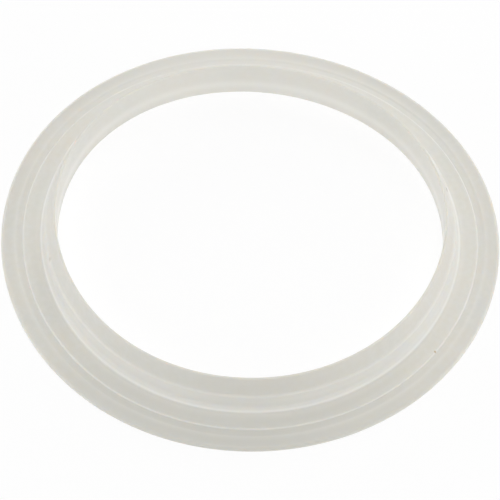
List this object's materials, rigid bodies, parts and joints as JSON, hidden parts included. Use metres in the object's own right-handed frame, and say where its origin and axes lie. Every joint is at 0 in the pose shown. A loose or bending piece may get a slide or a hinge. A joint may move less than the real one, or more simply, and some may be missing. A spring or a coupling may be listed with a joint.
{
  "type": "spa jet gasket",
  "caption": "Soft translucent ring gasket: a flat stepped flange with a sealing groove, and an upright tapered neck round a wide bore.",
  "frame": {"origin": "centre of the bore, in the flat seating face under the flange", "axes": "+Z along the bore axis, up the neck towards its lip; the ring is round, so X and Y are free"},
  "size_m": [0.127, 0.127, 0.0106],
  "materials": {
    "silicone": "satin translucent moulded silicone rubber, milky warm grey"
  },
  "bodies": {
    "root": {"gasket_ring": "silicone"}
  },
  "joints": []
}
